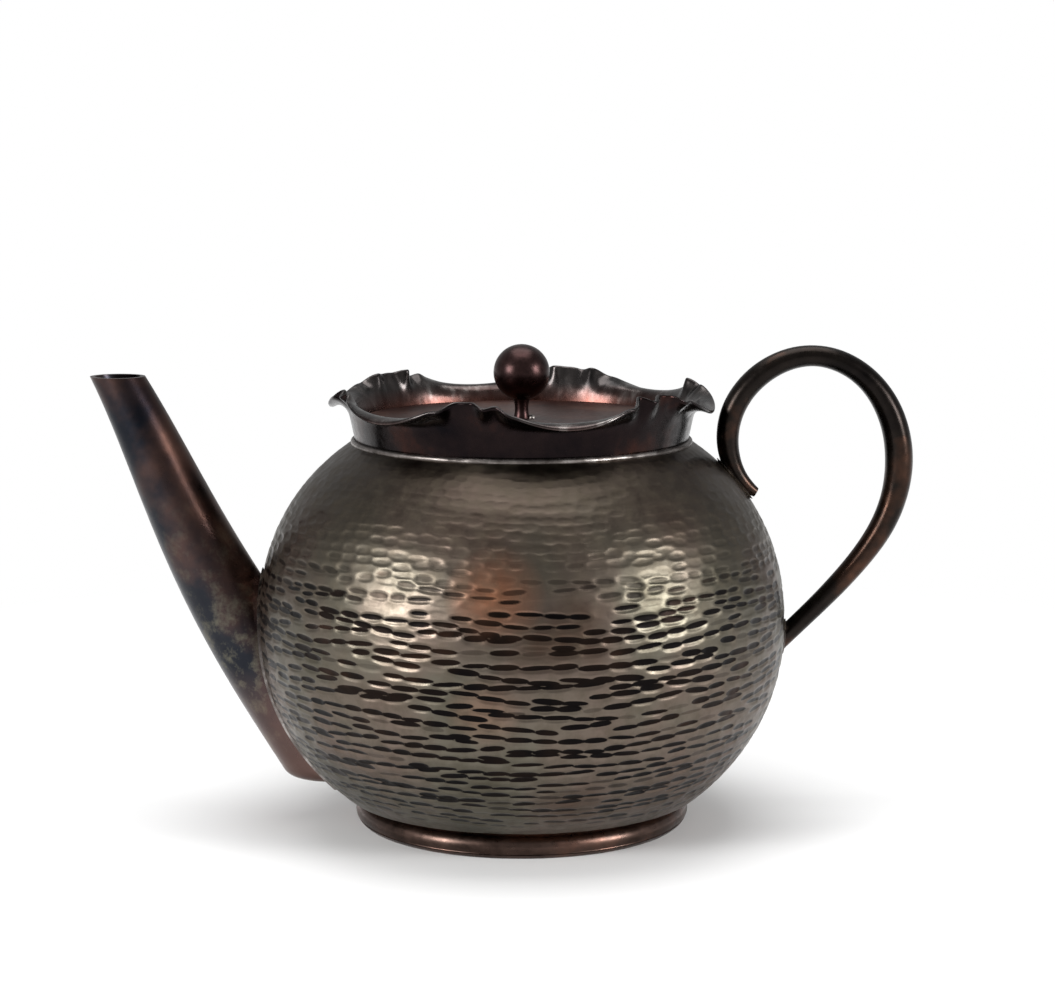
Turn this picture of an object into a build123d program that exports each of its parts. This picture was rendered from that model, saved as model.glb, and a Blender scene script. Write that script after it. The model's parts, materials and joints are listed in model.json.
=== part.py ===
from build123d import *
import math
import os

# Hammered copper teapot with a lift-off lid that sits inside a ruffled collar.
# Millimetres. +Z is up, +X points to the handle and -X to the spout.
# The origin is the centre of the foot's bottom plane.

# Sheet thickness of the raised parts and widths of the solder seams
sheet = 1.0
solder_width = 1.3
solder_height = 0.8
solder_gap = 0.1

# Bowl: two half superellipses that meet at the belly, cut off at the neck and the base
belly_radius = 65.7
belly_height = 50.0
upper_depth = 56.5
upper_power = 2.2
lower_depth = 57.0
lower_power = 2.05
neck_radius = 41.4
base_height = 7.4
base_corner = 2.0
profile_points = 12

# Strainer holes through the bowl wall behind the spout
strainer_hole_radius = 1.6
strainer_pitch = 6.0
strainer_rows = 3
strainer_drill_length = 44.0
strainer_below_belly = 14.0

# Foot ring, set in from the edge of the bowl's base
foot_inset = 3.8
foot_thickness = 2.7
foot_bulge = 1.4
foot_bulge_height = 2.6
foot_shoulder_height = 5.2
foot_cove_depth = 0.8
foot_groove_height = 1.3
foot_groove_radius = 0.35

# Ruffled collar: a strip of constant height that leans out and folds over in six lobes
collar_lean = 12.0
collar_straight = 5.8
collar_strip = 14.3
collar_fold = 104.0
collar_crest_fold = 4.0
lobe_angles = (42.0, 106.0, 172.0, 225.0, 284.0, 350.0)
lobe_half_width = 30.0
collar_sections = 36
collar_steps = 12

# Ledge inside the collar that carries the lid
seat_rise = 4.4
seat_thickness = 2.0
seat_overlap = 4.4

# Lid
lid_clearance = 1.5
lid_thickness = 1.2
flange_clearance = 0.6
flange_depth = 5.4

# Knob and the stud that holds it
knob_radius = 7.0
knob_centre_above_lid = 11.4
stem_top_radius = 2.4
stem_waist_radius = 1.7
stem_foot_radius = 2.1
stud_radius = 1.0
stud_in_knob = 3.0
stud_clearance = 0.05
washer_radius = 3.2
washer_thickness = 0.6
rivet_head_radius = 1.9
rivet_head_height = 0.9
bead_radius = 0.9

# Spout: stations from inside the bowl up to past the mouth.
# Each gives how far it lies outside the belly, how far above the belly's level, and the outer radius.
spout_stations = (
    (-28.7, -54.0, 12.4),
    (-8.0, -20.0, 11.6),
    (10.8, 11.0, 9.8),
    (23.0, 36.5, 8.0),
    (37.3, 66.2, 5.7),
)
spout_mouth_above_neck = 16.0
spout_sole_above_base = 3.2
spout_toe_radius = 4.0

# Handle: a hook that rests on the shoulder and an arm that ends on the bowl's side.
# Hook stations give how far they lie beyond the shoulder's radius at the tip's level, how far
# above the neck, and the width. Arm stations do the same from the belly's edge and level.
hook_tip_drop = 13.0
hook_stations = (
    (3.1, -13.2, 2.4),
    (-1.4, -9.0, 4.4),
    (-4.0, -2.0, 5.4),
    (-3.3, 6.3, 5.8),
    (3.8, 16.4, 5.7),
    (16.8, 21.1, 5.2),
    (28.5, 16.9, 5.6),
    (36.6, 5.9, 6.6),
    (38.7, -5.0, 7.0),
)
arm_stations = (
    (25.7, 26.6, 6.2),
    (18.6, 15.3, 5.4),
    (7.9, 3.5, 4.8),
    (-4.2, -8.6, 4.6),
)
handle_flatness = 1.12
handle_sections = 30


def polar_point(radius, height, degrees):
    """Point at a radius and height, turned about the pot's axis."""
    turn = math.radians(degrees)
    return Vector(radius * math.cos(turn), radius * math.sin(turn), height)


def bowl_radius_at(height, inset=0.0):
    """Radius of the bowl at a height. A positive inset moves the surface inwards."""
    if height >= belly_height:
        depth = upper_depth - inset
        power = upper_power
    else:
        depth = lower_depth - inset
        power = lower_power
    share = abs(height - belly_height) / depth
    return (belly_radius - inset) * (1.0 - share ** power) ** (1.0 / power)


def neck_level():
    """Level at which the bowl has narrowed to the neck."""
    share = 1.0 - (neck_radius / belly_radius) ** upper_power
    return belly_height + upper_depth * share ** (1.0 / upper_power)


def bowl_curve(low, high, inset):
    """Meridian of the bowl from a low to a high level."""
    points = []
    for step in range(profile_points + 1):
        height = low + (high - low) * step / profile_points
        points.append((bowl_radius_at(height, inset), 0.0, height))
    return Spline(*points)


def filled_bowl(inset):
    """Solid of revolution inside the bowl's skin, closed at the neck and the base."""
    low = base_height + inset
    high = neck_level()
    curve = bowl_curve(low, high, inset)
    outline = Wire([
        curve.edge(),
        Edge.make_line(curve @ 1, (0.0, 0.0, high)),
        Edge.make_line((0.0, 0.0, high), (0.0, 0.0, low)),
        Edge.make_line((0.0, 0.0, low), curve @ 0),
    ])
    body = revolve(Face(outline), Axis.Z)
    corner = body.edges().filter_by(GeomType.CIRCLE).sort_by(Axis.Z)[0]
    return fillet(corner, base_corner - inset / 2.0)


def make_bowl(outer, inner):
    """Raised wall of the bowl, open at the neck and round the base disc."""
    wall = outer - inner - make_base_disc()
    return wall - strainer_drills()


def make_base_disc():
    """Flat base let into the wall, with its joint over the middle of the foot ring."""
    radius = bowl_radius_at(base_height) - foot_inset - foot_thickness / 2.0
    disc = Cylinder(radius, sheet, align=(Align.CENTER, Align.CENTER, Align.MIN))
    return Pos(0, 0, base_height) * disc


def strainer_drills():
    """Staggered rows of drills along X through the bowl wall under the spout."""
    drills = []
    for row in range(strainer_rows):
        height = belly_height - strainer_below_belly + strainer_pitch * (row - (strainer_rows - 1) / 2.0)
        columns = 3 if row % 2 == 0 else 2
        for column in range(columns):
            side = strainer_pitch * (column - (columns - 1) / 2.0)
            start = Plane((-belly_radius, side, height), z_dir=(1, 0, 0))
            drill = start * Cylinder(strainer_hole_radius, strainer_drill_length)
            drills.append(drill)
    return drills


def collar_fold_at(degrees):
    """How far the strip folds outwards at an angle round the pot, in degrees."""
    share = 0.0
    for centre in lobe_angles:
        away = abs((degrees - centre + 180.0) % 360.0 - 180.0)
        if away < lobe_half_width:
            share = max(share, 0.5 + 0.5 * math.cos(math.pi * away / lobe_half_width))
    return collar_crest_fold + (collar_fold - collar_crest_fold) * share ** 0.7


def collar_inner_radius(rise):
    """Inner radius of the collar's straight part at a rise above the neck."""
    return neck_radius - sheet + rise * math.tan(math.radians(collar_lean))


def collar_meridian(degrees):
    """Inner and outer points of the strip from its foot to its lip."""
    lean = math.radians(collar_lean)
    fold = math.radians(collar_fold_at(degrees))
    foot_radius = collar_inner_radius(0.0)
    foot_height = neck_level()
    radius = foot_radius + collar_straight * math.sin(lean)
    height = foot_height + collar_straight * math.cos(lean)
    across = sheet / math.cos(lean)
    inner = [(foot_radius, foot_height), (radius, height)]
    outer = [(foot_radius + across, foot_height)]
    outer.append((radius + sheet * math.cos(lean), height - sheet * math.sin(lean)))
    length = (collar_strip - collar_straight) / collar_steps
    for step in range(collar_steps):
        share = (step + 0.5) / collar_steps
        eased = share * share * (3.0 - 2.0 * share)
        tilt = lean + fold * eased
        radius += length * math.sin(tilt)
        height += length * math.cos(tilt)
        if (step + 1) % 4 == 0:
            inner.append((radius, height))
            outer.append((radius + sheet * math.cos(tilt), height - sheet * math.sin(tilt)))
    return inner, outer


def collar_section(degrees):
    """Closed wire of the strip's section in the meridian plane at an angle."""
    inner, outer = collar_meridian(degrees)
    inside = [polar_point(radius, height, degrees) for radius, height in inner]
    outside = [polar_point(radius, height, degrees) for radius, height in outer]
    rise = inside[1] - inside[0]
    fall = outside[0] - outside[1]
    inner_line = Edge.make_line(inside[0], inside[1])
    inner_fold = Edge.make_spline(inside[1:], tangents=[rise, inside[-1] - inside[-2]])
    lip = Edge.make_line(inside[-1], outside[-1])
    outer_fold = Edge.make_spline(outside[:0:-1], tangents=[outside[-2] - outside[-1], fall])
    outer_line = Edge.make_line(outside[1], outside[0])
    foot = Edge.make_line(outside[0], inside[0])
    return Wire([inner_line, inner_fold, lip, outer_fold, outer_line, foot])


def make_collar():
    """Ruffled collar as a ring through meridian sections."""
    sections = []
    for number in range(collar_sections):
        sections.append(collar_section(360.0 * number / collar_sections))
    return Solid.make_loft(sections + [sections[0]], False)


def make_neck_seam(outer_bowl, collar):
    """Solder bead in the corner between the bowl's shoulder and the collar."""
    bead = Torus(neck_radius + solder_height / 2.0, solder_height)
    return Pos(0, 0, neck_level()) * bead - outer_bowl - collar


def make_lid_seat(collar):
    """Flat ledge soldered to the inside of the collar."""
    wall_middle = collar_inner_radius(seat_rise - seat_thickness) + sheet / 2.0
    blank = ring(seat_bore_radius(), wall_middle, seat_thickness)
    return Pos(0, 0, seat_level() - seat_thickness) * blank - collar


def seat_level():
    """Level of the ledge's upper face."""
    return neck_level() + seat_rise


def lid_radius():
    """Radius of the lid, clear of the collar."""
    return collar_inner_radius(seat_rise) - lid_clearance


def seat_bore_radius():
    """Radius of the opening inside the ledge, under the lid's edge."""
    return lid_radius() - seat_overlap


def ring(inner_radius, outer_radius, height):
    """Flat ring standing on the XY plane."""
    low = (Align.CENTER, Align.CENTER, Align.MIN)
    disc = Cylinder(outer_radius, height, align=low)
    return disc - Cylinder(inner_radius, height, align=low)


def make_foot_ring():
    """Foot ring with a convex foot, a cove under the bowl and a fine groove."""
    radius = bowl_radius_at(base_height) - foot_inset
    bottom = (radius, 0.0, 0.0)
    shoulder = (radius, 0.0, foot_shoulder_height)
    cove_middle_height = (foot_shoulder_height + base_height) / 2.0
    cove_middle = (radius - foot_cove_depth, 0.0, cove_middle_height)
    cove_top = (radius, 0.0, base_height)
    bulge = ThreePointArc(bottom, (radius + foot_bulge, 0.0, foot_bulge_height), shoulder)
    cove = ThreePointArc(shoulder, cove_middle, cove_top)
    inner_top = (radius - foot_thickness, 0.0, base_height)
    inner_bottom = (radius - foot_thickness, 0.0, 0.0)
    outline = Wire([
        bulge.edge(),
        cove.edge(),
        Edge.make_line(cove_top, inner_top),
        Edge.make_line(inner_top, inner_bottom),
        Edge.make_line(inner_bottom, bottom),
    ])
    body = revolve(Face(outline), Axis.Z)
    groove_at = radius + foot_bulge * foot_groove_height / foot_bulge_height + foot_groove_radius
    return body - Pos(0, 0, foot_groove_height) * Torus(groove_at, foot_groove_radius)


def spout_body(growth):
    """Tapered tube along the spout's centre line, grown outwards or inwards."""
    places = []
    for outside, above, radius in spout_stations:
        places.append(Vector(-belly_radius - outside, 0.0, belly_height + above))
    line = Spline(*places).edge()
    sections = []
    for place, (outside, above, radius) in zip(places, spout_stations):
        along = line % line.param_at_point(place)
        across = Plane(place, x_dir=(0, 1, 0), z_dir=along)
        sections.append(Wire.make_circle(radius + growth, across))
    return Solid.make_loft(sections, False)


def slab(low, high):
    """Large block between two levels."""
    width = 6.0 * belly_radius
    block = Box(width, width, high - low, align=(Align.CENTER, Align.CENTER, Align.MIN))
    return Pos(0, 0, low) * block


def spout_sole_level():
    return base_height + spout_sole_above_base


def spout_mouth_level():
    return neck_level() + spout_mouth_above_neck


def spout_outside():
    """Outer shape of the spout with its level mouth and rounded toe."""
    body = spout_body(0.0) & slab(spout_sole_level(), spout_mouth_level())
    sole = body.faces().sort_by(Axis.Z)[0]
    return fillet(sole.edges(), spout_toe_radius)


def make_spout(outside, gapped_bowl):
    """Hollow spout that ends a solder gap away from the bowl's skin."""
    bore = spout_body(-sheet) & slab(spout_sole_level() + sheet, spout_mouth_level() + sheet)
    return outside - bore - gapped_bowl


def make_spout_seam(outside, solder_skin):
    """Lap of solder on the bowl round the root of the spout."""
    low = spout_sole_level() - solder_height
    lap = spout_body(solder_width) & slab(low, neck_level())
    return largest_solid(solder_skin & (lap - outside))


def handle_stations():
    """Places and widths along the handle, from its tip over the hook and down the arm."""
    shoulder_radius = bowl_radius_at(neck_level() - hook_tip_drop)
    stations = []
    for beyond, above, width in hook_stations:
        stations.append((Vector(shoulder_radius + beyond, 0.0, neck_level() + above), width))
    for beyond, above, width in arm_stations:
        stations.append((Vector(belly_radius + beyond, 0.0, belly_height + above), width))
    return stations


def width_at(share, stops):
    """Width at a share of the handle's length, between stops of share and width."""
    for (low, width_low), (high, width_high) in zip(stops, stops[1:]):
        if share <= high:
            return width_low + (width_high - width_low) * (share - low) / (high - low)
    return stops[-1][1]


def handle_body(growth):
    """Tapered bar of oval section along a smooth line through the handle's stations."""
    stations = handle_stations()
    line = Spline(*[place for place, width in stations]).edge()
    stops = [(line.param_at_point(place), width) for place, width in stations]
    sections = []
    for number in range(handle_sections + 1):
        share = number / handle_sections
        across = Plane(line @ share, x_dir=(0, 1, 0), z_dir=line % share)
        half_width = width_at(share, stops) / 2.0 + growth
        sections.append(Wire.make_ellipse(half_width * handle_flatness, half_width, across))
    return Solid.make_loft(sections, False)


def largest_solid(shape):
    """The biggest solid of a boolean's result."""
    return shape.solids().sort_by(SortBy.VOLUME)[-1]


def make_handle(gapped_bowl):
    """Handle whose tip and root end a solder gap away from the bowl's skin."""
    return largest_solid(handle_body(0.0) - gapped_bowl)


def handle_seams(solder_skin):
    """Solder round the handle's tip on the shoulder and its root on the side."""
    lap = solder_skin & handle_body(solder_width / 2.0)
    pieces = (lap - handle_body(0.0)).solids()
    middle = (belly_height + neck_level()) / 2.0
    tip = [piece for piece in pieces if piece.center().Z > middle]
    root = [piece for piece in pieces if piece.center().Z < middle]
    return largest_of(tip), largest_of(root)


def largest_of(pieces):
    """The biggest of a list of solids."""
    return sorted(pieces, key=lambda piece: piece.volume)[-1]


def make_lid_plate():
    """Flat lid disc with the hole for the knob's stud."""
    plate = ring(stud_radius + stud_clearance, lid_radius(), lid_thickness)
    return Pos(0, 0, seat_level()) * plate


def make_lid_flange():
    """Ring under the lid that keeps it centred in the seat."""
    outer_radius = seat_bore_radius() - flange_clearance
    flange = ring(outer_radius - sheet, outer_radius, flange_depth)
    return Pos(0, 0, seat_level() - flange_depth) * flange


def lid_top():
    return seat_level() + lid_thickness


def knob_centre():
    return lid_top() + knob_centre_above_lid


def stem_top():
    """Level where the stem meets the ball."""
    return knob_centre() - math.sqrt(knob_radius ** 2 - stem_top_radius ** 2)


def make_knob_stem():
    """Waisted stem between the lid and the ball, bored for the stud."""
    top = stem_top() + stem_top_radius / 4.0
    waist_height = lid_top() + (top - lid_top()) / 3.0
    foot_edge = (stem_foot_radius, 0.0, lid_top())
    top_edge = (stem_top_radius, 0.0, top)
    side = ThreePointArc(foot_edge, (stem_waist_radius, 0.0, waist_height), top_edge)
    bore = stud_radius + stud_clearance
    outline = Wire([
        side.edge(),
        Edge.make_line(top_edge, (bore, 0.0, top)),
        Edge.make_line((bore, 0.0, top), (bore, 0.0, lid_top())),
        Edge.make_line((bore, 0.0, lid_top()), foot_edge),
    ])
    stem = revolve(Face(outline), Axis.Z)
    return stem - Pos(0, 0, knob_centre()) * Sphere(knob_radius)


def make_knob_ball():
    """Ball with a blind hole for the stud."""
    ball = Pos(0, 0, knob_centre()) * Sphere(knob_radius)
    low = knob_centre() - knob_radius - sheet
    top = knob_centre() - knob_radius + stud_in_knob
    hole = Cylinder(stud_radius + stud_clearance, top - low,
                    align=(Align.CENTER, Align.CENTER, Align.MIN))
    return ball - Pos(0, 0, low) * hole


def make_knob_stud():
    """Stud from the ball down through the lid, with its end peened over the washer."""
    low = seat_level() - washer_thickness
    top = knob_centre() - knob_radius + stud_in_knob
    shank = Pos(0, 0, low) * Cylinder(stud_radius, top - low,
                                      align=(Align.CENTER, Align.CENTER, Align.MIN))
    head = Pos(0, 0, low - rivet_head_height) * Cone(
        stud_radius, rivet_head_radius, rivet_head_height,
        align=(Align.CENTER, Align.CENTER, Align.MIN))
    return shank + head


def make_washer():
    """Washer under the lid."""
    washer = ring(stud_radius + stud_clearance, washer_radius, washer_thickness)
    return Pos(0, 0, seat_level() - washer_thickness) * washer


def make_knob_bead(stem):
    """Small bead of solder on the lid at the stem's foot, on the handle's side."""
    bead = Pos(stem_foot_radius + bead_radius / 2.0, -bead_radius / 2.0, lid_top()) * Sphere(bead_radius)
    return bead & slab(lid_top(), lid_top() + 2.0 * bead_radius) - stem


def main():
    outer_bowl = filled_bowl(0.0)
    inner_bowl = filled_bowl(sheet)
    gapped_bowl = filled_bowl(-solder_gap)
    solder_skin = filled_bowl(-solder_height) - gapped_bowl
    collar = make_collar()
    spout_shape = spout_outside()
    tip_seam, root_seam = handle_seams(solder_skin)
    stem = make_knob_stem()
    nodes = {
        "bowl": make_bowl(outer_bowl, inner_bowl),
        "base_disc": make_base_disc(),
        "collar": collar,
        "neck_seam": make_neck_seam(outer_bowl, collar),
        "lid_seat": make_lid_seat(collar),
        "foot_ring": make_foot_ring(),
        "spout": make_spout(spout_shape, gapped_bowl),
        "spout_seam": make_spout_seam(spout_shape, solder_skin),
        "handle": make_handle(gapped_bowl),
        "handle_tip_seam": tip_seam,
        "handle_root_seam": root_seam,
        "lid_plate": make_lid_plate(),
        "lid_flange": make_lid_flange(),
        "knob_stem": stem,
        "knob_ball": make_knob_ball(),
        "knob_stud": make_knob_stud(),
        "knob_washer": make_washer(),
        "knob_bead": make_knob_bead(stem),
    }
    os.makedirs("parts", exist_ok=True)
    for name, solid in nodes.items():
        export_step(solid, f"parts/{name}.step")


main()
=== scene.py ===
import json
import math

import bpy
import numpy as np
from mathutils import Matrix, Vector


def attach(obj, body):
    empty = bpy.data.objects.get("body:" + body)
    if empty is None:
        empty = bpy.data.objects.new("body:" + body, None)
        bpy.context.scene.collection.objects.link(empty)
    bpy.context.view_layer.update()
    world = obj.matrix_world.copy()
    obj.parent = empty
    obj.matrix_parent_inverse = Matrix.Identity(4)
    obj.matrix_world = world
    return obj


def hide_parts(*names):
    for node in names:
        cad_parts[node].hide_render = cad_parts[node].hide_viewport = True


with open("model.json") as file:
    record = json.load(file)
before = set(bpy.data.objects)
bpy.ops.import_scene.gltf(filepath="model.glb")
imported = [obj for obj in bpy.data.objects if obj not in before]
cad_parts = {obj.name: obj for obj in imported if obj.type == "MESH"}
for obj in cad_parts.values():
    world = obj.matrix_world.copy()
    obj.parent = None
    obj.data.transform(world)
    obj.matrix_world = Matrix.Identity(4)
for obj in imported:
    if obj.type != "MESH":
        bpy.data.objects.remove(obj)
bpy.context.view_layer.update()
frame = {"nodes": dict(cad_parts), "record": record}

MM = 0.001

# Bowl, in millimetres: the same two half superellipses as in the solids
BELLY_RADIUS = 65.7
BELLY_HEIGHT = 50.0
UPPER_DEPTH = 56.5
UPPER_POWER = 2.2
LOWER_DEPTH = 57.0
LOWER_POWER = 2.05
NECK_HEIGHT = 96.06
BASE_HEIGHT = 7.4
SKIN_LIFT = 0.30

# Hammer marks, in millimetres: blunt-ended dents laid end to end in rows that step up and down.
# Distances down the bowl are measured along its meridian, from the neck.
ROW_PITCH = 2.5
DENT_LENGTH = 6.6
DENT_HEIGHT = 1.7
DENT_DEPTH = 0.27
DENT_SEED = 11
DENT_REACH = 2.6
DENT_END_MARGIN = 0.8
DENT_BLUNTNESS = 2.6
HARD_BLOWS_FROM = 7.0
HARD_BLOWS_OVER = 38.0
SOFT_BAND_FROM = 14.0
# The dark marks, patina with painted shade, grow darker from here down the bowl.
DARK_MARKS_FROM = 20.0
FADE_OVER = 42.0
BASE_BAND = 9.0
BASE_FADE = 7.0
LARGEST_STEP = 1.1

# Collar, in millimetres: a strip that leans out and folds over in lobes
COLLAR_INNER_RADIUS = 40.4
COLLAR_SHEET = 1.0
COLLAR_LEAN = 12.0
COLLAR_STRAIGHT = 5.8
COLLAR_STRIP = 14.3
COLLAR_FOLD = 104.0
COLLAR_CREST_FOLD = 4.0
LOBE_ANGLES = (42.0, 106.0, 172.0, 225.0, 284.0, 350.0)
LOBE_HALF_WIDTH = 30.0
LOBE_ROUNDNESS = 0.7
CREST_WRINKLE = 17.0
LIP_STEPS = 4

# Mesh rows and columns
SKIN_GRID = ((420, 620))
COLLAR_ROWS = 26
COLLAR_COLUMNS = 540
MERIDIAN_SAMPLES = 2000

# Camera fitted to the photograph, in millimetres and radians
CAMERA_PLACE = (1.465, -651.7, 178.4)
CAMERA_PITCH = 0.15
FOCAL_PIXELS = 2630.5
PHOTO_WIDTH = 1055
SENSOR_WIDTH = 36.0

# Studio: the room's soft fill, and a floor that turns white away from the pot, in metres
FILL_STRENGTH = 0.42
FLOOR_HALF_WIDTH = 6.0
FLOOR_SHADE_RADIUS = 0.10
FLOOR_WHITE_RADIUS = 0.34

# Lamps: name, place and target in metres, size in metres and power in watts
LAMPS = (
    ("softbox_left", (-0.78, -0.56, 0.36), (0.0, 0.0, 0.06), 0.34, 8.5),
    ("softbox_right", (0.86, -0.44, 0.34), (0.0, 0.0, 0.06), 0.30, 7.0),
    ("softbox_top", (0.0, 0.10, 1.1), (0.0, 0.0, 0.0), 0.9, 9.0),
)


def bowl_radius_at(height):
    """Radius of the bowl's skin at a height, in millimetres."""
    if height >= BELLY_HEIGHT:
        depth = UPPER_DEPTH
        power = UPPER_POWER
    else:
        depth = LOWER_DEPTH
        power = LOWER_POWER
    share = abs(height - BELLY_HEIGHT) / depth
    return BELLY_RADIUS * (1.0 - share ** power) ** (1.0 / power)


def bowl_meridian(rows):
    """Radius, height, outward normal and arc length along the bowl, from the neck to the base."""
    heights = np.linspace(NECK_HEIGHT, BASE_HEIGHT, MERIDIAN_SAMPLES)
    radii = np.array([bowl_radius_at(height) for height in heights])
    steps = np.hypot(np.diff(radii), np.diff(heights))
    arc = np.concatenate([[0.0], np.cumsum(steps)])
    wanted = np.linspace(0.0, arc[-1], rows)
    height = np.interp(wanted, arc, heights)
    radius = np.interp(wanted, arc, radii)
    slope_radius = np.gradient(radius, wanted)
    slope_height = np.gradient(height, wanted)
    return radius, height, -slope_height, slope_radius, wanted


def smooth_step(value):
    """Ease from 0 to 1."""
    value = np.clip(value, 0.0, 1.0)
    return value * value * (3.0 - 2.0 * value)


def dent_strength(level, total):
    """How deep the blows go: soft under the neck, hard from the belly down, fading at the base."""
    top = smooth_step((level - HARD_BLOWS_FROM) / HARD_BLOWS_OVER)
    base = 1.0 - 0.8 * smooth_step((level - (total - BASE_BAND)) / BASE_FADE)
    return (0.16 + 0.84 * top) * base


def press_dent(fields, grid, place, level, size, tilt, strength):
    """Press one dent into the depth field, and its dark mark into the darkness field: patina with
    painted shade along its upper edge.
    """
    lens, dark = fields
    arcs, column_step, column_count = grid
    half_length, half_height = size
    low_row, high_row = np.searchsorted(arcs, [level - DENT_REACH, level + DENT_REACH])
    low_column = int((place - half_length - DENT_END_MARGIN) / column_step)
    high_column = int((place + half_length + DENT_END_MARGIN) / column_step) + 1
    columns = np.arange(low_column, high_column) % column_count
    offset = np.arange(low_column, high_column) * column_step - place
    drop = arcs[low_row:high_row, None] - level - tilt * offset[None, :]
    along = np.abs(offset / half_length) ** DENT_BLUNTNESS
    inside = 1.0 - along[None, :] - np.abs(drop / (1.35 * half_height)) ** 2.0
    cells = np.ix_(np.arange(low_row, high_row), columns)
    hollow = smooth_step((inside + 0.25) / 1.2) * strength
    lens[cells] = np.maximum(lens[cells], hollow)
    # Dark mark: patina in the hollow, set towards the dent's upper edge as painted shade, and darker
    # lower down the bowl.
    core = 1.0 - along[None, :] - np.abs((drop + 0.22) / (0.80 * half_height)) ** 2.0
    lower_darkening = smooth_step((level - DARK_MARKS_FROM) / FADE_OVER)
    shade = np.clip((core + 0.45) / 0.9, 0.0, 1.0) * min(1.0, strength * 1.2) * (0.35 + 0.65 * lower_darkening)
    dark[cells] = np.maximum(dark[cells], shade)


def row_sway(rng):
    """Slow waves that every row follows round the bowl: size in mm, count and phase."""
    waves = []
    for _ in range(4):
        waves.append((rng.uniform(0.3, 0.7), int(rng.integers(2, 7)), rng.uniform(0, 6.28)))
    return waves


def hammer_field(turns, arcs):
    """Depth and darkness of the hammer marks on a grid of turns (radians) and arcs (mm)."""
    rng = np.random.default_rng(DENT_SEED)
    total = arcs[-1]
    round_length = 2.0 * math.pi * BELLY_RADIUS
    fields = (np.zeros((len(arcs), len(turns))), np.zeros((len(arcs), len(turns))))
    column_step = round_length / len(turns)
    grid = (arcs, column_step, len(turns))
    waves = row_sway(rng)
    for row in range(int(total / ROW_PITCH) + 1):
        middle = (row + 0.5) * ROW_PITCH
        place = rng.uniform(0.0, DENT_LENGTH)
        end = place + round_length
        drift = rng.uniform(-0.06, 0.06)
        step_level = rng.uniform(-0.5, 0.5)
        while place < end - 0.4 * DENT_LENGTH:
            turn = place / BELLY_RADIUS
            sway = sum(size * math.sin(order * turn + phase) for size, order, phase in waves)
            level = middle + sway + step_level
            soft = 1.0 - smooth_step((level - SOFT_BAND_FROM) / FADE_OVER)
            half_length = DENT_LENGTH * rng.uniform(0.40, 0.62) * (1.0 - 0.25 * soft)
            half_height = DENT_HEIGHT * rng.uniform(0.38, 0.60)
            strength = dent_strength(level, total) * rng.uniform(0.75, 1.1)
            if rng.random() < 0.10:
                strength *= 0.4
            tilt = drift + rng.uniform(-0.03, 0.03)
            size = (half_length, half_height)
            press_dent(fields, grid, place + half_length, level, size, tilt, strength)
            place += 2.0 * half_length * rng.uniform(0.90, 0.99)
            step_level += drift * 2.0 * half_length
            if abs(step_level) > LARGEST_STEP or rng.random() < 0.22:
                step_level = rng.uniform(-0.9, 0.9)
                drift = rng.uniform(-0.07, 0.07)
                place += rng.uniform(0.0, 0.9)
    return np.clip(fields[0], 0.0, 1.0), fields[1]


def grid_mesh(name, points, attributes):
    """Mesh object from closed rings of points in millimetres, with float attributes on them."""
    rows, columns = points.shape[:2]
    index = np.arange(rows * columns).reshape(rows, columns)
    right = np.roll(index, -1, axis=1)
    quads = np.stack([index[:-1], index[1:], right[1:], right[:-1]], axis=-1).reshape(-1, 4)
    mesh = bpy.data.meshes.new(name)
    mesh.vertices.add(rows * columns)
    mesh.vertices.foreach_set("co", (points.reshape(-1, 3) * MM).ravel())
    mesh.loops.add(quads.size)
    mesh.loops.foreach_set("vertex_index", quads.ravel())
    mesh.polygons.add(len(quads))
    mesh.polygons.foreach_set("loop_start", np.arange(0, quads.size, 4))
    mesh.update(calc_edges=True)
    mesh.polygons.foreach_set("use_smooth", np.ones(len(quads), dtype=bool))
    for title, values in attributes.items():
        layer = mesh.attributes.new(title, "FLOAT", "POINT")
        layer.data.foreach_set("value", values.ravel().astype(np.float32))
    mesh.validate()
    piece = bpy.data.objects.new(name, mesh)
    bpy.context.scene.collection.objects.link(piece)
    return piece


def make_bowl_skin():
    """Hammered skin of the bowl, over the plain solid."""
    rows, columns = SKIN_GRID
    radius, height, out, up, arcs = bowl_meridian(rows)
    turns = np.arange(columns) * 2.0 * math.pi / columns
    lens, dark = hammer_field(turns, arcs)
    lift = SKIN_LIFT - DENT_DEPTH * lens
    reach = radius[:, None] + out[:, None] * lift
    level = height[:, None] + up[:, None] * lift
    points = np.stack([reach * np.cos(turns), reach * np.sin(turns), level], axis=-1)
    skin = grid_mesh("bowl_skin", points, {"dent": dark})
    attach(skin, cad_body("bowl"))
    return skin


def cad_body(node):
    """Name of the body that a node belongs to."""
    for body, nodes in frame["record"]["behaviour"]["bodies"].items():
        if node in nodes:
            return body
    raise ValueError(node)


def collar_fold_at(degrees):
    """How far the strip folds outwards at an angle round the pot, in degrees."""
    share = 0.0
    for centre in LOBE_ANGLES:
        away = abs((degrees - centre + 180.0) % 360.0 - 180.0)
        if away < LOBE_HALF_WIDTH:
            share = max(share, 0.5 + 0.5 * math.cos(math.pi * away / LOBE_HALF_WIDTH))
    return COLLAR_CREST_FOLD + (COLLAR_FOLD - COLLAR_CREST_FOLD) * share ** LOBE_ROUNDNESS


def crest_wrinkle(degrees):
    """Small outward and inward bends of the lip on the crests between the lobes, in degrees."""
    open_share = (collar_fold_at(degrees) - COLLAR_CREST_FOLD) / (COLLAR_FOLD - COLLAR_CREST_FOLD)
    crest = smooth_step(1.0 - open_share * 1.6)
    turn = math.radians(degrees)
    waves = math.sin(31.0 * turn + 0.7) + 0.6 * math.sin(47.0 * turn + 2.1)
    return float(crest) * CREST_WRINKLE * waves


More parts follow.
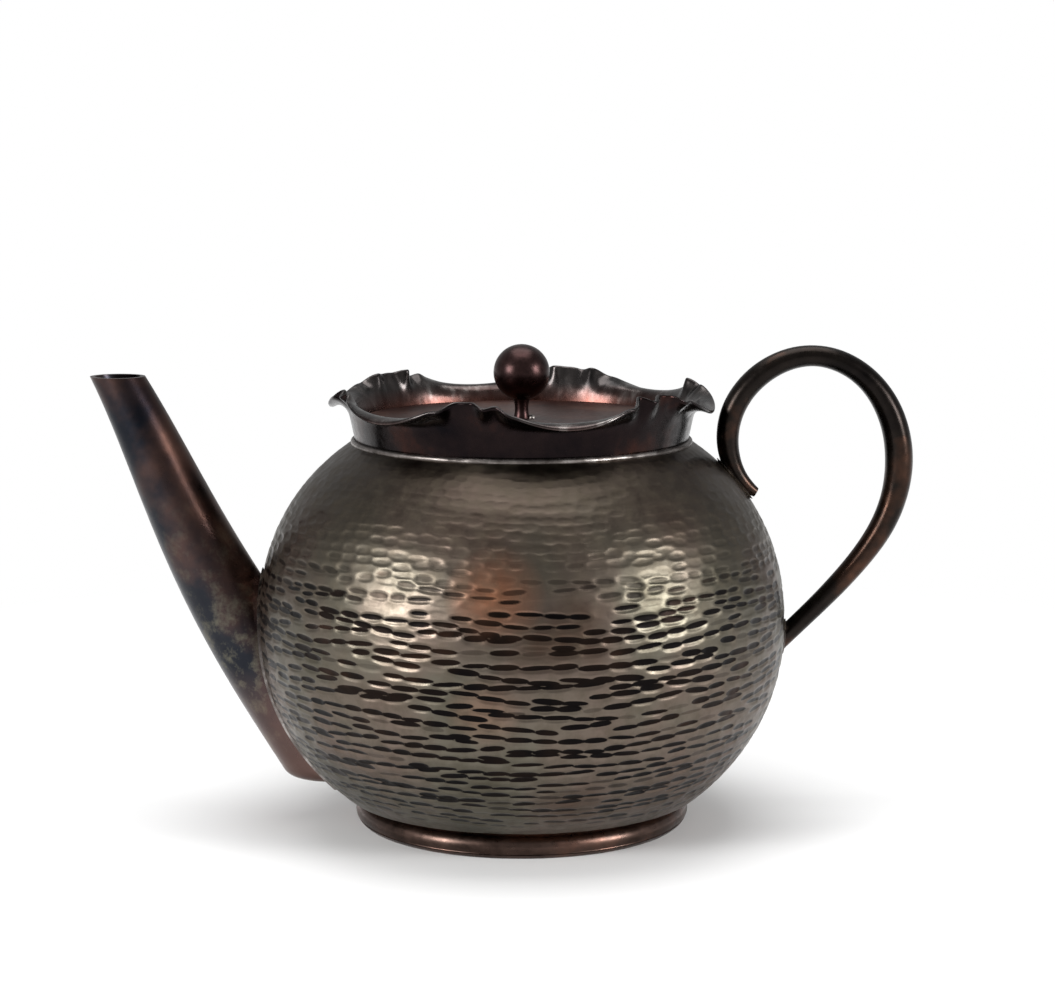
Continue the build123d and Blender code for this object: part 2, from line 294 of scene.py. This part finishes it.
def collar_line(degrees, count):
    """Inner line of the strip at an angle: radius, height and tilt from foot to lip."""
    lean = math.radians(COLLAR_LEAN)
    fold = math.radians(collar_fold_at(degrees) + crest_wrinkle(degrees))
    radius = COLLAR_INNER_RADIUS
    height = NECK_HEIGHT
    line = [(radius, height, lean)]
    for step in range(count):
        middle = (step + 0.5) / count * COLLAR_STRIP
        share = max(0.0, (middle - COLLAR_STRAIGHT) / (COLLAR_STRIP - COLLAR_STRAIGHT))
        eased = share * share * (3.0 - 2.0 * share)
        tilt = lean + fold * eased
        radius += COLLAR_STRIP / count * math.sin(tilt)
        height += COLLAR_STRIP / count * math.cos(tilt)
        line.append((radius, height, tilt))
    return line


def collar_ring(line):
    """Closed section of the strip at one angle: inner face, rounded lip and outer face."""
    inner = [(radius, height) for radius, height, tilt in line]
    outer = []
    for radius, height, tilt in line:
        outer_radius = radius + COLLAR_SHEET * math.cos(tilt)
        outer.append((outer_radius, height - COLLAR_SHEET * math.sin(tilt)))
    radius, height, tilt = line[-1]
    lip = []
    for step in range(1, LIP_STEPS):
        sweep = math.pi * step / LIP_STEPS
        along = 0.5 * COLLAR_SHEET * math.sin(sweep)
        side = 0.5 * COLLAR_SHEET * (1.0 - math.cos(sweep))
        lip.append((
            radius + side * math.cos(tilt) + along * math.sin(tilt),
            height - side * math.sin(tilt) + along * math.cos(tilt),
        ))
    return inner + lip + outer[::-1]


def make_collar():
    """Ruffled collar, with the inner face marked for its own finish."""
    turns = np.arange(COLLAR_COLUMNS) * 2.0 * math.pi / COLLAR_COLUMNS
    rings = [collar_ring(collar_line(math.degrees(turn), COLLAR_ROWS)) for turn in turns]
    section = np.array(rings).transpose(1, 0, 2)
    section = np.concatenate([section, section[:1]], axis=0)
    points = np.stack([
        section[..., 0] * np.cos(turns),
        section[..., 0] * np.sin(turns),
        section[..., 1],
    ], axis=-1)
    face = np.zeros(points.shape[:2])
    face[:COLLAR_ROWS + LIP_STEPS - 1] = 1.0
    face[-1] = 1.0
    piece = grid_mesh("collar_ruffle", points, {"inner": face})
    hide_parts("collar")
    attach(piece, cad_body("collar"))
    return piece


class Nodes:
    """Small helper that adds and links shader nodes."""

    def __init__(self, name):
        self.material = bpy.data.materials.new(name)
        self.material.use_nodes = True
        self.tree = self.material.node_tree
        self.tree.nodes.clear()

    def add(self, kind, **settings):
        node = self.tree.nodes.new(kind)
        for key, value in settings.items():
            setattr(node, key, value)
        return node

    def link(self, source, target):
        self.tree.links.new(source, target)

    def noise(self, scale, detail=4.0, roughness=0.55, stretch=None):
        """Noise over the object's own coordinates, in features per metre."""
        where = self.add("ShaderNodeTexCoord").outputs["Object"]
        if stretch:
            mapping = self.add("ShaderNodeMapping")
            mapping.inputs["Scale"].default_value = stretch
            self.link(where, mapping.inputs["Vector"])
            where = mapping.outputs["Vector"]
        node = self.add("ShaderNodeTexNoise")
        node.inputs["Scale"].default_value = scale
        node.inputs["Detail"].default_value = detail
        node.inputs["Roughness"].default_value = roughness
        self.link(where, node.inputs["Vector"])
        return node.outputs["Fac"]

    def attribute(self, name):
        return self.add("ShaderNodeAttribute", attribute_name=name).outputs["Fac"]

    def ramp(self, source, stops):
        node = self.add("ShaderNodeValToRGB")
        elements = node.color_ramp.elements
        while len(elements) < len(stops):
            elements.new(0.5)
        for element, (place, color) in zip(elements, stops):
            element.position = place
            element.color = (*color, 1.0)
        self.link(source, node.inputs["Fac"])
        return node.outputs["Color"]

    def value_range(self, source, low, high, to_low, to_high):
        node = self.add("ShaderNodeMapRange")
        self.link(source, node.inputs["Value"])
        node.inputs["From Min"].default_value = low
        node.inputs["From Max"].default_value = high
        node.inputs["To Min"].default_value = to_low
        node.inputs["To Max"].default_value = to_high
        return node.outputs["Result"]

    def mix(self, factor, first, second):
        """Blend two colours. A Mix node's colour inputs are its seventh and eighth sockets."""
        node = self.add("ShaderNodeMix", data_type="RGBA")
        self.set(node.inputs["Factor"], factor)
        self.set(node.inputs[6], first)
        self.set(node.inputs[7], second)
        return node.outputs[2]

    def math(self, operation, first, second):
        node = self.add("ShaderNodeMath", operation=operation)
        self.set(node.inputs[0], first)
        self.set(node.inputs[1], second)
        return node.outputs[0]

    def spot(self, where, place, radius):
        """1 at a place, in metres, fading to 0 at a radius."""
        node = self.add("ShaderNodeVectorMath", operation="DISTANCE")
        self.link(where, node.inputs[0])
        node.inputs[1].default_value = place
        return self.value_range(node.outputs["Value"], 0.0, radius, 1.0, 0.0)

    def set(self, socket, value):
        if isinstance(value, bpy.types.NodeSocket):
            self.link(value, socket)
        elif isinstance(value, tuple):
            socket.default_value = (*value, 1.0)
        else:
            socket.default_value = value

    def bump(self, height, strength, distance_mm, below=None):
        node = self.add("ShaderNodeBump")
        node.inputs["Strength"].default_value = strength
        node.inputs["Distance"].default_value = distance_mm * MM
        self.link(height, node.inputs["Height"])
        if below:
            self.link(below, node.inputs["Normal"])
        return node.outputs["Normal"]

    def metal(self, color, roughness, normal):
        shader = self.add("ShaderNodeBsdfPrincipled")
        shader.inputs["Metallic"].default_value = 1.0
        self.set(shader.inputs["Base Color"], color)
        self.set(shader.inputs["Roughness"], roughness)
        self.link(normal, shader.inputs["Normal"])
        output = self.add("ShaderNodeOutputMaterial")
        self.link(shader.outputs[0], output.inputs["Surface"])
        return self.material


def hammered_copper():
    """Burnished grey-brown lands with near-black patina and painted shade in the hammer marks, and
    painted reflections on the front.
    """
    nodes = Nodes("hammered_copper")
    broad = nodes.noise(26.0, 3.0)
    land = nodes.ramp(broad, [
        (0.30, (0.056, 0.053, 0.036)),
        (0.46, (0.125, 0.112, 0.088)),
        (0.58, (0.140, 0.108, 0.088)),
        (0.72, (0.085, 0.052, 0.037)),
    ])
    where = nodes.add("ShaderNodeTexCoord").outputs["Object"]
    # Painted reflections: two copper-orange patches on the front of the bowl stand in for warm light
    # reflected from in front of the pot.
    painted_reflection = nodes.spot(where, (-0.006, -0.062, 0.068), 0.012)
    land = nodes.mix(nodes.math("MULTIPLY", painted_reflection, 0.65), land, (0.46, 0.17, 0.075))
    low_painted_reflection = nodes.spot(where, (-0.008, -0.060, 0.042), 0.010)
    land = nodes.mix(nodes.math("MULTIPLY", low_painted_reflection, 0.45), land, (0.36, 0.15, 0.085))
    parts = nodes.add("ShaderNodeSeparateXYZ")
    nodes.link(where, parts.inputs[0])
    shoulder = nodes.value_range(parts.outputs["Z"], 0.066, 0.090, 0.0, 0.85)
    land = nodes.mix(shoulder, land, (0.044, 0.033, 0.026))
    mottle = nodes.noise(260.0, 5.0, 0.6)
    land = nodes.mix(nodes.value_range(mottle, 0.42, 0.66, 0.0, 0.5), land, (0.080, 0.066, 0.048))
    # Near-black hammer marks: patina in the hollows, with painted shade along each dent's upper edge.
    dents = nodes.ramp(nodes.noise(60.0, 2.0), [
        (0.40, (0.006, 0.005, 0.005)),
        (0.62, (0.014, 0.009, 0.007)),
        (0.78, (0.040, 0.020, 0.013)),
    ])
    mask = nodes.value_range(nodes.attribute("dent"), 0.30, 0.62, 0.0, 1.0)
    color = nodes.mix(mask, land, dents)
    gloss = nodes.value_range(mottle, 0.3, 0.7, 0.30, 0.46)
    ripple = nodes.bump(nodes.noise(95.0, 2.0, 0.5, (1.0, 1.0, 2.6)), 0.45, 0.30)
    grain = nodes.bump(nodes.noise(900.0, 3.0), 0.25, 0.05, ripple)
    return nodes.metal(color, gloss, grain)


def dark_copper(name, low, middle, high, scale, gloss):
    """Patinated copper: three tones over broad noise, with fine wear."""
    nodes = Nodes(name)
    broad = nodes.noise(scale, 4.0, 0.6)
    tone = nodes.ramp(broad, [(0.32, low), (0.52, middle), (0.72, high)])
    fine = nodes.noise(scale * 9.0, 5.0, 0.65)
    wear = nodes.value_range(fine, 0.5, 0.75, 0.0, 0.5)
    tone = nodes.mix(wear, tone, middle)
    roughness = nodes.value_range(fine, 0.3, 0.7, gloss, gloss + 0.16)
    ripple = nodes.bump(nodes.noise(120.0, 2.0), 0.35, 0.25)
    grain = nodes.bump(fine, 0.2, 0.05, ripple)
    return nodes.metal(tone, roughness, grain)


def patina_looks():
    """One patina per material slot: low, middle and high tone, scale and gloss."""
    return {
        "bowl_copper": dark_copper(
            "bowl_inside", (0.10, 0.07, 0.05), (0.20, 0.13, 0.09), (0.32, 0.20, 0.14), 40.0, 0.32),
        "collar_copper": collar_copper(),
        "foot_copper": dark_copper(
            "foot_patina",
            (0.030, 0.020, 0.016), (0.085, 0.055, 0.045), (0.17, 0.085, 0.062), 60.0, 0.24),
        "spout_copper": spout_copper(),
        "handle_copper": dark_copper(
            "handle_patina",
            (0.008, 0.007, 0.007), (0.020, 0.016, 0.014), (0.095, 0.046, 0.030), 42.0, 0.22),
        "lid_copper": dark_copper(
            "lid_patina",
            (0.030, 0.012, 0.010), (0.075, 0.030, 0.022), (0.14, 0.066, 0.045), 70.0, 0.30),
        "knob_copper": dark_copper(
            "knob_patina",
            (0.016, 0.010, 0.010), (0.040, 0.022, 0.021), (0.090, 0.046, 0.040), 90.0, 0.24),
        "stud_copper": dark_copper(
            "stud_patina", (0.20, 0.11, 0.07), (0.36, 0.21, 0.14), (0.45, 0.28, 0.20), 200.0, 0.3),
        "solder": dark_copper(
            "solder_tarnish", (0.07, 0.06, 0.055), (0.18, 0.16, 0.15), (0.46, 0.43, 0.41), 220.0, 0.3),
    }


def collar_copper():
    """Near-black outside with red-brown clouds; a greyer and glossier inside, with pale vertical
    streaks as painted highlights.
    """
    nodes = Nodes("collar_patina")
    cloud = nodes.noise(55.0, 4.0, 0.6)
    outside = nodes.ramp(cloud, [
        (0.34, (0.006, 0.005, 0.006)),
        (0.55, (0.015, 0.010, 0.010)),
        (0.76, (0.055, 0.021, 0.015)),
    ])
    # Painted highlights: pale vertical streaks on the inside stand in for light caught on a fluted
    # inner wall.
    highlight_streak = nodes.noise(170.0, 3.0, 0.6, (1.0, 1.0, 0.12))
    inside = nodes.ramp(highlight_streak, [
        (0.36, (0.022, 0.020, 0.020)),
        (0.56, (0.070, 0.062, 0.060)),
        (0.70, (0.240, 0.225, 0.215)),
    ])
    parts = nodes.add("ShaderNodeSeparateXYZ")
    nodes.link(nodes.add("ShaderNodeTexCoord").outputs["Object"], parts.inputs[0])
    low = nodes.value_range(parts.outputs["Z"], 0.106, 0.101, 0.0, 0.8)
    inside = nodes.mix(low, inside, (0.080, 0.026, 0.018))
    tone = nodes.mix(nodes.attribute("inner"), outside, inside)
    fine = nodes.noise(480.0, 5.0, 0.65)
    gloss = nodes.value_range(fine, 0.3, 0.7, 0.16, 0.34)
    ripple = nodes.bump(nodes.noise(130.0, 2.0), 0.45, 0.30)
    grain = nodes.bump(fine, 0.25, 0.05, ripple)
    return nodes.metal(tone, gloss, grain)


def spout_copper():
    """Blue-black upper left side, red-brown right half, green-grey and pinkish wear low down."""
    nodes = Nodes("spout_patina")
    where = nodes.add("ShaderNodeTexCoord").outputs["Object"]
    parts = nodes.add("ShaderNodeSeparateXYZ")
    nodes.link(where, parts.inputs[0])
    cloud = nodes.noise(38.0, 4.0, 0.6)
    cloudy = nodes.value_range(cloud, 0.3, 0.7, -0.010, 0.010)
    slant = nodes.math("MULTIPLY", parts.outputs["Z"], 0.56)
    side = nodes.math("ADD", nodes.math("ADD", parts.outputs["X"], slant), cloudy)
    tint = nodes.value_range(cloud, 0.35, 0.65, 0.0, 1.0)
    brown = nodes.mix(tint, (0.040, 0.020, 0.016), (0.105, 0.056, 0.044))
    blue = nodes.mix(tint, (0.012, 0.014, 0.020), (0.035, 0.036, 0.042))
    tone = nodes.mix(nodes.value_range(side, -0.045, -0.032, 0.0, 1.0), blue, brown)
    spots = nodes.noise(150.0, 5.0, 0.7)
    low = nodes.value_range(parts.outputs["Z"], 0.085, 0.045, 0.0, 1.0)
    worn = nodes.math("MULTIPLY", nodes.value_range(spots, 0.50, 0.68, 0.0, 0.8), low)
    tone = nodes.mix(worn, tone, (0.150, 0.140, 0.105))
    toe = nodes.value_range(parts.outputs["Z"], 0.040, 0.014, 0.0, 0.7)
    tone = nodes.mix(toe, tone, (0.200, 0.120, 0.100))
    gloss = nodes.value_range(spots, 0.3, 0.7, 0.24, 0.40)
    ripple = nodes.bump(nodes.noise(110.0, 2.0), 0.35, 0.25)
    grain = nodes.bump(spots, 0.2, 0.05, ripple)
    return nodes.metal(tone, gloss, grain)


def dress_cad():
    """Give every CAD node that stays its finish."""
    looks = patina_looks()
    for entry in frame["record"]["subparts"]:
        node = frame["nodes"][entry["node"]]
        for slot in node.material_slots:
            slot.material = looks[entry["material_slot"]]
    return looks


def make_camera():
    """Camera at the photograph's angle."""
    data = bpy.data.cameras.new("camera")
    data.sensor_fit = "HORIZONTAL"
    data.sensor_width = SENSOR_WIDTH
    data.lens = FOCAL_PIXELS * SENSOR_WIDTH / PHOTO_WIDTH
    data.clip_start = 0.01
    data.clip_end = 20.0
    camera = bpy.data.objects.new("camera", data)
    camera.location = Vector(CAMERA_PLACE) * MM
    camera.rotation_euler = (math.pi / 2.0 - CAMERA_PITCH, 0.0, 0.0)
    bpy.context.scene.collection.objects.link(camera)
    bpy.context.scene.camera = camera


def make_softbox(name, place, target, size, power):
    """Square area lamp that points at a target."""
    data = bpy.data.lights.new(name, "AREA")
    data.shape = "SQUARE"
    data.size = size
    data.energy = power
    lamp = bpy.data.objects.new(name, data)
    lamp.location = place
    lamp.rotation_euler = (Vector(target) - Vector(place)).to_track_quat("-Z", "Y").to_euler()
    bpy.context.scene.collection.objects.link(lamp)


def make_floor():
    """Pale floor that keeps the shadow near the pot and is white beyond it for the camera."""
    mesh = bpy.data.meshes.new("floor")
    half = FLOOR_HALF_WIDTH
    corners = [(-half, -half, 0), (half, -half, 0), (half, half, 0), (-half, half, 0)]
    mesh.from_pydata(corners, [], [(0, 1, 2, 3)])
    floor = bpy.data.objects.new("floor", mesh)
    bpy.context.scene.collection.objects.link(floor)
    nodes = Nodes("floor_white")
    shader = nodes.add("ShaderNodeBsdfDiffuse")
    shader.inputs["Color"].default_value = (0.86, 0.86, 0.86, 1.0)
    white = nodes.add("ShaderNodeEmission")
    distance = nodes.add("ShaderNodeVectorMath", operation="LENGTH")
    nodes.link(nodes.add("ShaderNodeTexCoord").outputs["Object"], distance.inputs[0])
    near, white_from = FLOOR_SHADE_RADIUS, FLOOR_WHITE_RADIUS
    far = nodes.value_range(distance.outputs["Value"], near, white_from, 0.0, 1.0)
    path = nodes.add("ShaderNodeLightPath")
    seen = nodes.math("MAXIMUM", path.outputs["Is Camera Ray"], path.outputs["Is Glossy Ray"])
    blend = nodes.add("ShaderNodeMixShader")
    nodes.link(nodes.math("MULTIPLY", far, seen), blend.inputs["Fac"])
    nodes.link(shader.outputs[0], blend.inputs[1])
    nodes.link(white.outputs[0], blend.inputs[2])
    output = nodes.add("ShaderNodeOutputMaterial")
    nodes.link(blend.outputs[0], output.inputs["Surface"])
    mesh.materials.append(nodes.material)


def make_world():
    """White backdrop for the camera, a darker room for reflections and a soft fill for the rest."""
    world = bpy.data.worlds.new("studio")
    bpy.context.scene.world = world
    world.use_nodes = True
    tree = world.node_tree
    tree.nodes.clear()
    path = tree.nodes.new("ShaderNodeLightPath")
    strength = tree.nodes.new("ShaderNodeMapRange")
    strength.inputs["To Min"].default_value = FILL_STRENGTH
    strength.inputs["To Max"].default_value = 1.0
    tree.links.new(path.outputs["Is Camera Ray"], strength.inputs["Value"])
    background = tree.nodes.new("ShaderNodeBackground")
    background.inputs["Color"].default_value = (1.0, 1.0, 1.0, 1.0)
    tree.links.new(strength.outputs["Result"], background.inputs["Strength"])
    output = tree.nodes.new("ShaderNodeOutputWorld")
    tree.links.new(background.outputs[0], output.inputs["Surface"])


bpy.context.scene.view_settings.view_transform = "Standard"
make_camera()
make_floor()
make_world()
for lamp in LAMPS:
    make_softbox(*lamp)

looks = dress_cad()
bowl_skin = make_bowl_skin()
bowl_skin.data.materials.append(hammered_copper())
collar = make_collar()
collar.data.materials.append(looks["collar_copper"])
